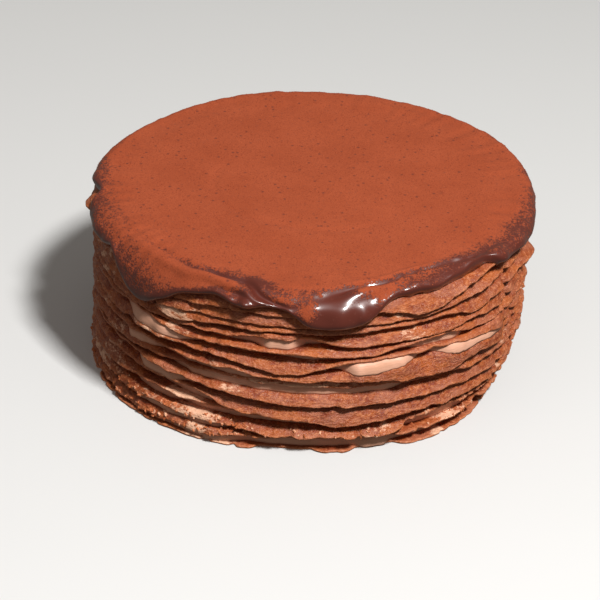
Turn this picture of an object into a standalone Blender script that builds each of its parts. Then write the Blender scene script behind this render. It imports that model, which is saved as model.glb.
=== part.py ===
"""Whole crepe cake: thin crepes and cream in turn, under a poured ganache that hangs over the rim.

The cake stands on z = 0, round the Z axis, with its front facing -Y. Azimuths are in degrees,
0 at the front and growing towards +X. All sizes are in metres.
"""

import math
import random

import bmesh
import bpy

MM = 0.001
TURN = 2 * math.pi

# Driving dimensions
CREPE_COUNT = 14
CREPE_THICK = 1.6 * MM
CREAM_THICK = 2.65 * MM
GANACHE_THICK = 3.0 * MM
CREPE_RADIUS = 82.8 * MM
CREAM_RADIUS = 79.2 * MM
UPPER_RADIUS = 81.6 * MM
UPPER_COUNT = 4
RIM_DROP = 1.3 * MM
GAP = 0.3 * MM

# Worked out from them
PITCH = CREPE_THICK + CREAM_THICK + 2 * GAP
STACK_TOP = (CREPE_COUNT - 1) * PITCH + CREPE_THICK

# Unevenness of the hand-spread layers
CREPE_WANDER = 1.3 * MM
CREAM_WANDER = 1.0 * MM
DROP_WANDER = 1.0 * MM
GANACHE_WANDER = 0.8 * MM
WANDER_ORDERS = (1, 2, 3, 4, 5, 7, 9)
RIM_MARGIN = 1.0 * MM
RIM_CLEARANCE = 0.7 * MM
STEPS_AROUND = 52

# Ganache edge
LIP_THICK = 1.8 * MM
LIP_BELOW_RIM = 0.8 * MM
LIP_CLEARANCE = 0.5 * MM
SHOULDER_IN = 1.3 * MM
SHOULDER_DOWN = 0.5 * MM
EDGE_DOWN = 2.0 * MM
TOP_FLAT_IN = 6.0 * MM
LIP_ROUND = 0.5 * MM
SHORT_IN = 2.0 * MM
SHORT_FLAP = 1.2 * MM

# (centre, half width, size): where a crepe's rim is longer and hangs lower, by layer
FLAPS = {
    2: ((-30, 16, 1.5 * MM), (170, 20, 1.2 * MM)),
    3: ((-8, 20, 1.0 * MM), (140, 22, 2.0 * MM)),
    4: ((36, 18, 1.6 * MM), (-120, 24, 1.8 * MM)),
    5: ((-62, 22, 2.2 * MM), (100, 16, 1.5 * MM)),
    6: ((14, 20, 1.4 * MM), (-150, 18, 2.0 * MM)),
    7: ((58, 18, 2.0 * MM), (-40, 22, 1.6 * MM), (175, 22, 1.8 * MM)),
    8: ((-5, 22, 1.6 * MM), (120, 20, 2.2 * MM)),
    9: ((40, 20, 1.8 * MM), (-75, 22, 2.0 * MM)),
    10: ((-12, 16, 2.4 * MM), (155, 22, 2.4 * MM), (-115, 18, 1.8 * MM)),
    11: ((22, 20, 2.6 * MM), (-92, 20, 2.2 * MM)),
    12: ((34, 18, 3.2 * MM), (-88, 14, 2.6 * MM), (110, 20, 2.4 * MM)),
    13: ((30, 20, 4.2 * MM), (64, 20, 2.4 * MM), (-160, 22, 2.6 * MM)),
    14: ((32, 20, 6.0 * MM), (-140, 24, 2.8 * MM), (82, 16, 2.5 * MM)),
}

# (centre, half width, size): where a layer of cream is pushed out to the rim, by layer
BULGES = {
    2: ((-34, 16, 2.2 * MM), (130, 20, 1.5 * MM)),
    4: ((-70, 22, 2.0 * MM), (60, 16, 1.2 * MM)),
    6: ((2, 22, 1.8 * MM), (-105, 20, 1.6 * MM)),
    7: ((48, 16, 2.6 * MM), (150, 22, 2.0 * MM)),
    8: ((20, 13, 2.6 * MM), (-130, 20, 1.8 * MM)),
    9: ((-45, 16, 2.6 * MM), (95, 20, 1.6 * MM)),
    10: ((-8, 12, 1.6 * MM), (-168, 20, 1.8 * MM)),
    12: ((-52, 20, 1.8 * MM), (125, 18, 1.6 * MM)),
}

# (centre, half width, size): runs of ganache down the side
DRIPS = (
    (-47, 18, 12.5 * MM),
    (-14, 12, 4.5 * MM),
    (3, 21, 7.5 * MM),
    (104, 14, 4.0 * MM),
    (146, 16, 6.0 * MM),
    (-172, 14, 4.5 * MM),
    (-118, 16, 5.0 * MM),
)

CREPE_COLOUR = (0.34, 0.115, 0.052, 1.0)
CREAM_COLOUR = (0.40, 0.22, 0.13, 1.0)
GANACHE_COLOUR = (0.40, 0.09, 0.038, 1.0)


def azimuths():
    """The azimuth of each step around, in radians."""
    return [TURN * step / STEPS_AROUND for step in range(STEPS_AROUND)]


def point(azimuth, radius, height):
    """The place of a point given by azimuth, radius and height."""
    return (radius * math.sin(azimuth), -radius * math.cos(azimuth), height)


def wander(name, size):
    """A closed wavy line that stays within +-size, one value for each step around."""
    draw = random.Random(name)
    terms = [(order, draw.uniform(0, TURN), draw.uniform(0.4, 1.0)) for order in WANDER_ORDERS]
    total = sum(weight for _, _, weight in terms)
    return [
        size / total * sum(weight * math.sin(order * a + phase) for order, phase, weight in terms)
        for a in azimuths()
    ]


def humps(wanted):
    """The sum of smooth humps (centre, half width, size), one value for each step around."""
    values = []
    for azimuth in azimuths():
        total = 0.0
        for centre, half_width, size in wanted:
            away = math.degrees(azimuth) - centre
            away = abs((away + 180) % 360 - 180)
            if away < half_width:
                total += size * math.cos(math.pi / 2 * away / half_width) ** 2
        values.append(total)
    return values


def added(*lines):
    """The sum of several lines of values, step by step."""
    return [sum(values) for values in zip(*lines)]


def floor_of(layer):
    """The height of a crepe's flat underside."""
    return (layer - 1) * PITCH


def cream_outline(layer):
    """The radius of the cream that lies on this crepe."""
    radii = added(wander(f"cream {layer}", CREAM_WANDER), humps(BULGES.get(layer, ())))
    return [CREAM_RADIUS + extra for extra in radii]


def slope_limit(bend, rim, rims_below, floor):
    """How far a crepe's rim may drop below its flat part without meeting the rims below it."""
    limit = floor
    for radius, top in rims_below:
        if radius <= bend:
            continue
        room = floor - top - RIM_CLEARANCE
        reach = min(radius, rim)
        limit = min(limit, room * (rim - bend) / (reach - bend))
    return limit


def crepe_rims(creams):
    """For each crepe, its bend radii, rim radii and rim drops, one of each for each step around."""
    crepes = {}
    for layer in range(1, CREPE_COUNT + 1):
        support = creams.get(layer - 1, [CREAM_RADIUS] * STEPS_AROUND)
        bends = [radius + GAP for radius in support]
        flaps = humps(FLAPS.get(layer, ()))
        reach = added(wander(f"crepe {layer}", CREPE_WANDER), [0.5 * flap for flap in flaps])
        radius = UPPER_RADIUS if layer > CREPE_COUNT - UPPER_COUNT else CREPE_RADIUS
        rims = [max(radius + extra, bend + RIM_MARGIN) for extra, bend in zip(reach, bends)]
        drops = added(wander(f"drop {layer}", DROP_WANDER), flaps)
        limited = []
        for step, wish in enumerate(drops):
            below = [
                (crepes[lower]["rims"][step],
                 floor_of(lower) + CREPE_THICK - crepes[lower]["drops"][step])
                for lower in range(1, layer)
            ]
            limit = slope_limit(bends[step], rims[step], below, floor_of(layer))
            limited.append(max(0.0, min(RIM_DROP + wish, limit)))
        crepes[layer] = {"bends": bends, "rims": rims, "drops": limited}
    return crepes


def outline(bm, radii, height):
    """A flat face with one corner for each step around."""
    ring = bmesh.ops.create_circle(bm, cap_ends=True, radius=1.0, segments=STEPS_AROUND)["verts"]
    for vertex, azimuth, radius in zip(ring, azimuths(), radii):
        vertex.co = point(azimuth, radius, height)
    return ring


def widened(bm, ring, radii, heights):
    """The next ring outside this one, joined to it by a band of faces."""
    edges = [bm.edges.get((ring[step - 1], ring[step])) for step in range(STEPS_AROUND)]
    made = bmesh.ops.extrude_edge_only(bm, edges=edges)["geom"]
    fresh = {item for item in made if isinstance(item, bmesh.types.BMVert)}
    following = []
    for vertex, azimuth, radius, height in zip(ring, azimuths(), radii, heights):
        other = next(edge.other_vert(vertex) for edge in vertex.link_edges
                     if edge.other_vert(vertex) in fresh)
        other.co = point(azimuth, radius, height)
        following.append(other)
    return following


def thickened(bm, thickness):
    """Turns the open sheet into a solid that is this much higher, with the same triangles above."""
    bmesh.ops.triangulate(bm, faces=bm.faces[:], quad_method="FIXED")
    made = bmesh.ops.extrude_face_region(bm, geom=bm.faces[:])["geom"]
    raised = [item for item in made if isinstance(item, bmesh.types.BMVert)]
    bmesh.ops.translate(bm, verts=raised, vec=(0, 0, thickness))


def crepe_mesh(layer, rim):
    """A crepe: flat over the cream below it, and bent down outside that."""
    bm = bmesh.new()
    floor = floor_of(layer)
    ring = outline(bm, rim["bends"], floor)
    widened(bm, ring, rim["rims"], [floor - drop for drop in rim["drops"]])
    thickened(bm, CREPE_THICK)
    return bm


def cream_mesh(layer, radii):
    """The cream on a crepe: a flat slab with an uneven outline."""
    bm = bmesh.new()
    outline(bm, radii, floor_of(layer) + CREPE_THICK + GAP)
    thickened(bm, CREAM_THICK)
    return bm


def ganache_lips(crepes):
    """For each step around, the ganache's outer and inner radii and the height where it ends."""
    top = crepes[CREPE_COUNT]
    flaps = humps(FLAPS[CREPE_COUNT])
    short = [flap > SHORT_FLAP for flap in flaps]
    ends = [STACK_TOP - RIM_DROP - LIP_BELOW_RIM - drip for drip in humps(DRIPS)]
    spread = wander("ganache", GANACHE_WANDER)
    lips = []
    for step in range(STEPS_AROUND):
        near = [(step + move) % STEPS_AROUND for move in (-1, 0, 1)]
        rim_top = STACK_TOP - top["drops"][step]
        if short[step]:
            held_back = SHORT_IN * min(1.0, flaps[step] / SHORT_FLAP - 1.0)
            outer = UPPER_RADIUS + spread[step] + LIP_CLEARANCE + LIP_THICK - held_back
            inner = outer - LIP_THICK
            end = crepe_top(top, step, inner) + LIP_CLEARANCE
        else:
            lowest = min(ends[n] for n in near) - RIM_CLEARANCE
            inner = LIP_CLEARANCE + max(
                rim["rims"][n] for layer, rim in crepes.items() for n in near
                if layer == CREPE_COUNT
                or floor_of(layer) + CREPE_THICK - rim["drops"][n] > lowest
            )
            outer = inner + LIP_THICK
            end = min(ends[step], rim_top - LIP_BELOW_RIM)
            if any(short[n] for n in near):
                end = rim_top + LIP_CLEARANCE
        lips.append((outer, inner, end))
    return lips


def crepe_top(rim, step, radius):
    """The height of the top crepe's upper surface at this radius."""
    bend = rim["bends"][step]
    along = (radius - bend) / (rim["rims"][step] - bend)
    return STACK_TOP - rim["drops"][step] * min(max(along, 0.0), 1.0)


def ganache_mesh(crepes):
    """The ganache: a slab on the top crepe whose edge runs over the rim and down in drips."""
    top = crepes[CREPE_COUNT]
    slab_top = STACK_TOP + GAP + GANACHE_THICK
    rows = [([], []) for _ in range(8)]
    for step, (outer, inner, end) in enumerate(ganache_lips(crepes)):
        above = crepe_top(top, step, inner) + LIP_CLEARANCE
        section = (
            (outer - TOP_FLAT_IN, slab_top),
            (outer - SHOULDER_IN, slab_top - SHOULDER_DOWN),
            (outer, slab_top - EDGE_DOWN),
            (outer, end + LIP_ROUND),
            (outer - LIP_ROUND, end),
            (inner, end),
            (inner - LIP_CLEARANCE / 2, max(above, end) + LIP_CLEARANCE / 2),
            (min(top["bends"][step], inner - LIP_CLEARANCE), STACK_TOP + GAP),
        )
        for (radii, heights), (radius, height) in zip(rows, section):
            radii.append(radius)
            heights.append(height)
    bm = bmesh.new()
    ring = outline(bm, rows[0][0], slab_top)
    for radii, heights in rows[1:]:
        ring = widened(bm, ring, radii, heights)
    bmesh.ops.edgeloop_fill(bm, edges=[e for e in bm.edges if e.is_boundary])
    bmesh.ops.triangulate(bm, faces=bm.faces[:], quad_method="ALTERNATE")
    return bm


def material(name, colour, roughness):
    """A plain finish in one colour."""
    made = bpy.data.materials.new(name)
    made.use_nodes = True
    shader = made.node_tree.nodes["Principled BSDF"]
    shader.inputs["Base Color"].default_value = colour
    shader.inputs["Roughness"].default_value = roughness
    shader.inputs["Metallic"].default_value = 0.0
    return made


def node(collection, name, bm, finish):
    """A named object made from this bmesh."""
    bmesh.ops.recalc_face_normals(bm, faces=bm.faces[:])
    mesh = bpy.data.meshes.new(name)
    bm.to_mesh(mesh)
    bm.free()
    mesh.materials.append(finish)
    made = bpy.data.objects.new(name, mesh)
    collection.objects.link(made)
    return made


def build():
    """Clears the scene and builds the cake, layer by layer."""
    for old in list(bpy.data.objects):
        bpy.data.objects.remove(old)
    collection = bpy.data.collections.new("crepe_cake")
    bpy.context.scene.collection.children.link(collection)
    crepe = material("crepe", CREPE_COLOUR, 0.55)
    cream = material("cream", CREAM_COLOUR, 0.45)
    ganache = material("ganache", GANACHE_COLOUR, 0.8)

    creams = {layer: cream_outline(layer) for layer in range(1, CREPE_COUNT)}
    crepes = crepe_rims(creams)
    for layer, rim in crepes.items():
        node(collection, f"crepe_{layer:02d}", crepe_mesh(layer, rim), crepe)
    for layer, radii in creams.items():
        node(collection, f"cream_{layer:02d}", cream_mesh(layer, radii), cream)
    node(collection, "ganache", ganache_mesh(crepes), ganache)


build()
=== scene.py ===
"""Looks of the crepe cake: draped crepes, cream, ganache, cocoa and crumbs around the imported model.

The cake is laid from the bottom up, as a baker stacks it. Each sheet is a height for every
azimuth and radius, it lies on whatever is below it, and its rim hangs where nothing holds it.
Azimuths are in degrees, 0 at the front (-Y) and growing towards +X. Sizes of the cake are in
millimetres, and become metres when its meshes are made; the studio is in metres.
"""

from __future__ import annotations

import logging
import math
from collections.abc import Callable, Iterable, Mapping, Sequence
from dataclasses import dataclass, field
from enum import Enum
from typing import Any

import bmesh
import bpy
import numpy as np
from mathutils import Matrix, Vector


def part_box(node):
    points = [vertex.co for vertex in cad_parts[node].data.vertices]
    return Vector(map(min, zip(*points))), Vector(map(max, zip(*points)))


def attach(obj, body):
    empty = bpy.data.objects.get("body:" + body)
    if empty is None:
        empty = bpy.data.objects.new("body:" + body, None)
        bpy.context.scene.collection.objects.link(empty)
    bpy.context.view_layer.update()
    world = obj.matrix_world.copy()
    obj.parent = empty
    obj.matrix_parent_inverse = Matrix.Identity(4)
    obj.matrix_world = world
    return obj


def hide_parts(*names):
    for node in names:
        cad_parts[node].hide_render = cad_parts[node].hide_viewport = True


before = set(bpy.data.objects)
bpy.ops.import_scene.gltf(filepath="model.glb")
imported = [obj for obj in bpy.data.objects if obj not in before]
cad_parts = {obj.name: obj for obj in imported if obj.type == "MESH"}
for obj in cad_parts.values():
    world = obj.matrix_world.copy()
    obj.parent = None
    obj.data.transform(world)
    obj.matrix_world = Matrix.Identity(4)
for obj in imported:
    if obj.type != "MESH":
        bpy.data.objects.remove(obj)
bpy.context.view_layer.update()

log = logging.getLogger("crepe_cake")

Array = np.ndarray
Marks = Sequence[tuple[float, float]]
Colour = tuple[float, float, float, float]

MM = 0.001
TAU = 2 * math.pi

AROUND = 720
AZIMUTHS = np.arange(AROUND) * 360.0 / AROUND - 180.0
ANGLES = np.radians(AZIMUTHS)

INNER = 66.0
OUTER = 96.0
STEP = 0.2
RADII = np.arange(INNER, OUTER, STEP)

LAYERS = 14
RAGGED = 3  # so many crepes at the foot are torn, with crumbs on them
TOUCH = 0.03  # from one sheet to the next

FRONT_FULL = 78.0  # up to here the listed lines hold, to each side
FRONT_NONE = 96.0  # from here on the rims are left to chance
WORN_AT = 82.0  # where the rims are frayed
LEANS_AT = 92.0  # where the cake leans out over its foot
LEAN = 6.0
FOOT = 80.0  # the radius that holds the lowest crepe level
SHOULDER = 81.5  # where the ganache turns down over the top crepe


def from_azimuth(azimuth: float) -> Array:
    """Degrees from an azimuth to each step around, below 0 to its left."""
    return (AZIMUTHS - azimuth + 180.0) % 360.0 - 180.0


# --- The hand of the baker: where each crepe hangs, and where cream, ganache and cocoa go ---

# How far the rim's lower edge hangs below a crepe's flat part, at azimuths along the front
DROPS: dict[int, Marks] = {
    1: ((-75, 0), (75, 0)),
    2: ((-75, 2.4), (-50, 3), (-40, 2.6), (-35, 1.4), (-28, 2.4), (-20, 0.8), (-14, 0), (25, 0),
        (32, 0.4), (36, -0.6), (60, 0)),
    3: ((-75, 2.4), (-60, 2.6), (-50, 2.6), (-38, 1.2), (-30, 1.4), (-20, 1.4), (-15, 1.9),
        (-10, 2.8), (0, 3.2),
        (5, 2.7), (10, 2.7), (15, 3.7), (20, 3.7), (24, 3.2), (26, 1.7), (29, 0.2), (32, -0.9),
        (36, -1.5), (40, -0.8), (50, -0.3), (60, -0.3), (70, 0.7)),
    4: ((-75, 2.5), (-60, 3), (-50, 0.5), (-40, 0), (-25, 1), (20, 1), (40, 1), (70, 2)),
    5: ((-75, 1.4), (-50, 0.9), (-40, 0), (-30, 0), (-25, 1.4), (-22, 2.9), (-20, 3.6), (-10, 4.4),
        (-5, 5.1), (0, 5.2), (4, 6.1), (5, 7.2), (9, 7.7), (12, 7), (20, 6.7), (25, 6), (30, 5.3),
        (45, 5.8), (55, 6.3), (60, 7), (66, 4.5), (73, 2.2), (90, 2.6)),
    6: ((-75, 1.2), (-60, 0), (-40, 0.3), (-30, 1.2), (-20, 1.8), (-10, 3), (0, 3.7), (10, 4),
        (20, 3.8), (35, 4.5), (40, 4), (45, 5), (50, 5.5), (60, 6.4), (66, 4), (73, 2.4), (90, 2.6)),
    7: ((-75, 1.6), (-60, 2.6), (-50, 1.6), (-20, 0.6), (0, 1.1), (20, 1.6), (28, 2.6), (38, 2.6),
        (42, 3.1), (47, 4.4), (52, 4.3), (62, 5.4), (68, 3.6), (75, 2.4), (90, 2.6)),
    8: ((-75, 2), (-60, 1.5), (-40, 0.5), (-35, 1.5), (-30, 1.2), (-25, 1.7), (-20, 1), (-12, 1.8),
        (-7, 2.5), (0, 3), (15, 2.3), (20, 2.8), (25, 4.2), (30, 5.4), (39, 6.4), (42, 5), (45, 3.7),
        (50, 3.4), (55, 4), (60, 5), (70, 3), (80, 2.4)),
    9: ((-75, 2.8), (-60, 3.3), (-50, 1.8), (-38, 0.8), (-30, 1.8), (-22, 1.5), (-18, 2), (-12, 3.8),
        (-7, 5), (-3, 4.5), (0, 3.8), (3, 2.3), (7, 1.1), (9, 0.5), (11, -0.3), (20, -0.4),
        (28, -0.1), (35, 0.3), (42, 1), (50, 2.1), (57, 3), (62, 3.8), (70, 4.1), (78, 2.6)),
    10: ((-75, 1.7), (-60, 1.2), (-55, 0.2), (-45, 0), (-38, 1.2), (-30, 2.2), (-20, 1.4), (-10, 1),
         (0, 1.4), (8, 2.2), (15, 2.4), (20, 1.7), (25, 0.9), (29, 0.1), (40, 0.2), (46, 2.7),
         (52, 3.7), (60, 4.2), (70, 4.4), (78, 2.6)),
    11: ((-75, 3), (-60, 3.5), (-45, 4), (-30, 2.5), (-23, 2.5), (-18, 1.7), (-13, 0.5), (2, 0),
         (5, 1.3), (8, 2.5), (12, 3.3), (20, 2.9), (30, 3.3), (36, 3.9), (42, 3.5), (47, 3),
         (52, 4), (60, 5.2), (70, 3.2), (80, 2.6)),
    12: ((-75, 3.4), (-60, 4.9), (-50, 5.9), (-43, 3.9), (-40, 5.4), (-37, 6.6), (-34, 6.2),
         (-30, 4.4), (-22, 2.8), (-13, 2.8), (0, 2.2), (10, 2.4), (20, 1.9), (30, 1.8), (38, 2.2),
         (42, 3.1), (44, 4.1), (46, 5.2), (50, 5.2), (55, 4.7), (60, 3.8), (70, 3.4)),
    13: ((-75, 3.2), (-60, 5.2), (-50, 8), (-42, 8), (-38, 7), (-30, 5.7), (-20, 5), (-10, 4.7),
         (5, 4.2), (15, 4), (19, 4.4), (23, 3.6), (28, 5), (33, 4.2), (38, 3.2), (45, 3.5),
         (52, 2.9), (57, 1.9), (62, 1.9), (70, 2.2)),
    14: ((-75, 2), (-60, 6), (-50, 10), (-40, 9.5), (-35, 7.5), (-28, 6.5), (-22, 5.5), (-5, 5.5),
         (15, 4.5), (20, 4.3), (25, 5), (28, 7), (35, 6.5), (40, 4.5), (45, 2.8), (50, 1.3),
         (55, 0.3), (60, 0), (70, 0.5)),
}

# How much further out or in than usual a crepe's rim is
REACHES: dict[int, Marks] = {
    1: ((-80, 1.2), (-62, 2.8), (-45, 3), (-30, 2), (-14, 0.4), (-11, -3), (2, -3), (5, -0.3),
        (12, -0.3), (14, -3.5), (25, -3.5),
        (27, 0.5), (38, 0.5), (42, -1), (80, 0)),
    2: ((-75, 0.8), (-50, 2), (-30, 1.4), (-12, 0.3), (-6, -3.2), (22, -3.2), (26, 0.4), (36, 0.6),
        (48, -0.5), (62, 0.8), (84, 1), (96, 0)),
    3: ((-75, 0.4), (-50, 1.2), (-30, 0.8), (-10, 0.6), (24, 0.8), (28, -0.6), (40, -0.8),
        (62, 0.4), (84, 0.6), (96, 0)),
    4: ((-60, 0.4), (-34, 0.2), (-22, -2.4), (50, -2.4), (70, -1)),
    5: ((-45, -0.8), (-28, -0.6), (-15, 0.2), (40, 0.2), (80, 0)),
    6: ((-60, -0.4), (-20, 0.2), (70, 0.3)),
    7: ((-60, 0.2), (-42, -0.3), (-32, -2.8), (24, -2.8), (34, -0.8), (45, 0.4), (80, 0.3)),
    8: ((-60, -0.4), (-30, 0.3), (10, 0), (22, 0.6), (40, 0.6), (60, 0)),
    9: ((-60, -0.8), (-40, -0.8), (-25, 0.2), (0, 0.4), (12, 0.4), (34, -0.6), (60, 0.2)),
    10: ((-60, -0.6), (-40, -0.6), (-20, 0.1), (24, 0.2), (34, -0.6), (60, 0.4)),
    11: ((-60, -1), (-30, -0.6), (-14, -1.4), (-10, -3.4), (-3, -3.4), (3, -0.8), (30, -0.2), (60, 0)),
    12: ((-60, -1), (-38, 0), (-20, -1), (40, -0.8), (50, 0), (70, -0.4), (77, 2), (82, 3.4), (88, 0)),
    13: ((-60, -1.4), (-20, -1.2), (20, -0.8), (50, -0.2), (70, -0.6)),
    14: ((-97, 0), (-91, 6), (-83, 3), (-78, -1), (-50, -1.2), (0, -1.4), (20, -0.6), (30, 0.8),
         (42, 0.4), (55, -0.4), (70, -1)),
}

# How much higher than usual a crepe lies near the rim, over thick cream
LIFTS: dict[int, Marks] = {
    3: ((22, 0), (33, 1.2), (40, 1), (50, 0)),
    8: ((18, 0), (25, 1.4), (33, 2), (38, 1.2), (44, 0)),
    9: ((6, 0), (12, 0.2), (30, 0.2), (36, 0)),
    11: ((-18, 0), (-12, 1.6), (-4, 1.4), (1, 0)),
}


@dataclass(frozen=True)
class Bulge:
    """A place where cream is squeezed out between two crepes.

    Attributes:
        centre: its azimuth.
        half_width: degrees from the centre to where it ends.
        reach: its radius in millimetres.
        rounding: how far back from its face the cream starts to curve.
        ends: degrees over which it dies out.
    """

    centre: float
    half_width: float
    reach: float
    rounding: float = 1.0
    ends: float = 4.0

    def window(self) -> Array:
        """1 inside the bulge and 0 outside, for each step around."""
        away = np.abs(from_azimuth(self.centre))
        return eased((self.half_width - away) / self.ends)


BULGES: dict[int, tuple[Bulge, ...]] = {
    1: (Bulge(19, 6, 81.4, 0.9, 4), Bulge(-40, 26, 84.2, 1.0, 9), Bulge(-140, 22, 83.0, 1.2, 10)),
    2: (Bulge(-38, 22, 83.9, 1.0, 9), Bulge(-74, 16, 83.2, 1.3, 9), Bulge(110, 20, 83.0, 1.2, 9)),
    3: (Bulge(-44, 11, 81.4, 1.4, 6), Bulge(160, 18, 83.0, 1.2, 9)),
    4: (Bulge(-72, 14, 82.4, 1.2, 8), Bulge(88, 14, 83.4, 1.2, 8)),
    5: (Bulge(-42, 12, 83.4, 1.2, 8), Bulge(-125, 20, 83.4, 1.2, 9), Bulge(140, 16, 82.8, 1.2, 8)),
    6: (Bulge(-4, 36, 81.2, 1.2, 10), Bulge(175, 16, 83.4, 1.2, 8)),
    7: (Bulge(-50, 12, 83.8, 1.5, 11), Bulge(-4, 36, 81.0, 1.0, 10), Bulge(-76, 10, 83.0, 1.2, 8),
        Bulge(100, 18, 83.6, 1.2, 9)),
    8: (Bulge(23, 11, 85.2, 3.0, 10), Bulge(15.5, 7.5, 85.7, 3.2, 6), Bulge(50, 18, 85.4, 3.0, 10),
        Bulge(-105, 18, 84.0, 1.2, 9)),
    9: (Bulge(-43, 18, 85.2, 2.6, 14), Bulge(37, 13, 81.8, 1.0, 8), Bulge(125, 20, 83.8, 1.2, 9)),
    10: (Bulge(-7, 8, 83.0, 1.6, 6), Bulge(-165, 18, 83.6, 1.2, 9)),
    11: (Bulge(-36, 8, 81.0, 1.4, 5), Bulge(98, 15, 83.0, 1.2, 8)),
    12: (Bulge(-150, 22, 82.5, 1.2, 10),),
    13: (Bulge(150, 16, 82.0, 1.2, 8),),
}

# How much further in than usual the cream ends, so that the crepe above it bends sooner
HELD_BACK: dict[int, Marks] = {
    11: ((-75, 0), (-60, -1.5), (-40, -1.5), (-20, 0)),
    12: ((-95, 1), (-75, 0), (-60, -3), (-40, -3), (-20, -0.5), (70, 0.5), (100, 1.5)),
    13: ((-100, 2.6), (-80, 0), (-60, -4), (-40, -4), (-20, -2), (10, -1.5), (24, -1), (40, -1),
         (62, 0), (80, 2.6), (140, 2.6)),
}


@dataclass(frozen=True)
class Smear:
    """Cream left on the outside of a hanging rim: azimuth, half width and how much of it covers."""

    centre: float
    half_width: float
    amount: float

    def window(self) -> Array:
        """How much cream covers the rim, for each step around."""
        away = np.abs(from_azimuth(self.centre))
        return self.amount * np.exp(-((away / (0.75 * self.half_width)) ** 2))


SMEARS: dict[int, tuple[Smear, ...]] = {
    1: (Smear(-22, 6, 0.7), Smear(-30, 4, 0.8), Smear(38, 4, 0.6)),
    2: (Smear(-28, 5, 0.9), Smear(-8, 4, 0.6), Smear(41, 6, 0.8)),
    3: (Smear(-29, 10, 0.9), Smear(-45, 8, 0.4), Smear(19, 6, 0.5), Smear(-68, 14, 0.6),
        Smear(81, 7, 0.5)),
    4: (Smear(-33, 8, 0.95), Smear(-60, 16, 0.4), Smear(60, 10, 0.4)),
    5: (Smear(-62, 14, 0.35), Smear(-38, 10, 0.6), Smear(62, 6, 0.3), Smear(83, 7, 0.5)),
    6: (Smear(-20, 6, 0.55), Smear(-62, 12, 0.3), Smear(120, 20, 0.4), Smear(84, 7, 0.5)),
    7: (Smear(-5, 26, 0.7), Smear(64, 5, 0.4), Smear(-60, 12, 0.4)),
    8: (Smear(-20, 22, 0.3), Smear(-70, 14, 0.4), Smear(-130, 20, 0.4), Smear(86, 7, 0.5)),
    9: (Smear(-44, 12, 0.5), Smear(2, 8, 0.25), Smear(-64, 10, 0.3)),
    10: (Smear(4, 6, 0.35), Smear(-35, 9, 0.4), Smear(150, 20, 0.4), Smear(88, 7, 0.5)),
    11: (Smear(28, 7, 0.45), Smear(10, 6, 0.3), Smear(-66, 10, 0.35)),
    12: (Smear(-37, 8, 0.75), Smear(2, 14, 0.3), Smear(-70, 14, 0.4), Smear(22, 6, 0.4)),
    13: (Smear(-30, 6, 0.35), Smear(-66, 8, 0.4), Smear(24, 4, 0.4)),
}

# How far the ganache's lower edge hangs below its top
GANACHE_EDGE: Marks = (
    (-180, 8), (-168, 12), (-155, 7), (-140, 6), (-122, 11), (-105, 7), (-96, 7.5), (-91, 4.2),
    (-84, 4.2), (-79, 8), (-70, 9), (-61, 8),
    (-57, 12), (-54, 16), (-50, 19), (-45, 18.5), (-42, 16.5), (-40, 14), (-35, 10.5), (-30, 8.5),
    (-25, 6.2), (-20, 7.5), (-17, 9), (-13, 8.5), (-12, 7), (-8, 7), (-4, 8), (-2, 10.5),
    (0, 12.5), (3, 13), (8, 12.5), (12, 12.5), (15, 10.5), (17, 9), (19, 6.5), (22, 4.8), (27, 3.8),
    (33, 4), (40, 3.4), (50, 3.8), (62, 4.6), (72, 7), (88, 6), (104, 10), (118, 7), (132, 7),
    (146, 12.5), (160, 7),
)

# The radius that the ganache reaches at least, where it stops on the crepe
GANACHE_LEAST: Marks = (
    (-100, 80), (18, 80), (24, 81), (35, 81.4), (48, 80.5), (60, 81), (100, 80),
)


@dataclass(frozen=True)
class Stroke:
    """A long crease or ridge in the ganache, running around the cake.

    Attributes:
        at: how far outwards along the ganache it runs, by azimuth, from the inner radius.
        high: how high it stands, by azimuth; a crease is below 0.
        wide: how wide it is.
    """

    at: Marks
    high: Marks
    wide: float

    def relief(self, along: Array) -> Array:
        """What it adds to the thickness, at these distances along the ganache."""
        away = (along - traced(self.at, 1.5)[:, None]) / self.wide
        return traced(self.high, 1.5)[:, None] * np.exp(-(away ** 2))


@dataclass(frozen=True)
class Spot:
    """A round place on the ganache.

    Attributes:
        azimuth: its azimuth.
        at: how far outwards along the ganache it is, from the inner radius.
        half_width: how far it reaches to each side, in millimetres.
        half_length: how far it reaches inwards and outwards.
        amount: how much it adds in its middle.
    """

    azimuth: float
    at: float
    half_width: float
    half_length: float
    amount: float

    def share(self, along: Array) -> Array:
        """Its amount, fading from its middle, at these distances along the ganache."""
        across = np.radians(from_azimuth(self.azimuth))[:, None] * 84.0 / self.half_width
        return self.amount * np.exp(-(across ** 2) - ((along - self.at) / self.half_length) ** 2)


CREASE_RIGHT: Marks = (
    (-2, 16), (4, 14), (9, 12.3), (14, 10.5), (22, 8.6), (28, 7.6), (35, 7.4), (44, 8.8), (53, 12.5),
    (62, 14.5), (80, 14),
)
CREASE_LEFT: Marks = (
    (-110, 14), (-78, 12), (-60, 9), (-45, 9), (-38, 8.6), (-30, 8.8), (-24, 9.3), (-19, 10.8),
    (-15, 12.6), (-11, 14.8), (-6, 16.5), (0, 17),
)


def beside(line: Marks, further: float) -> Marks:
    """The same line, further outwards."""
    return tuple((azimuth, value + further) for azimuth, value in line)


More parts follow.
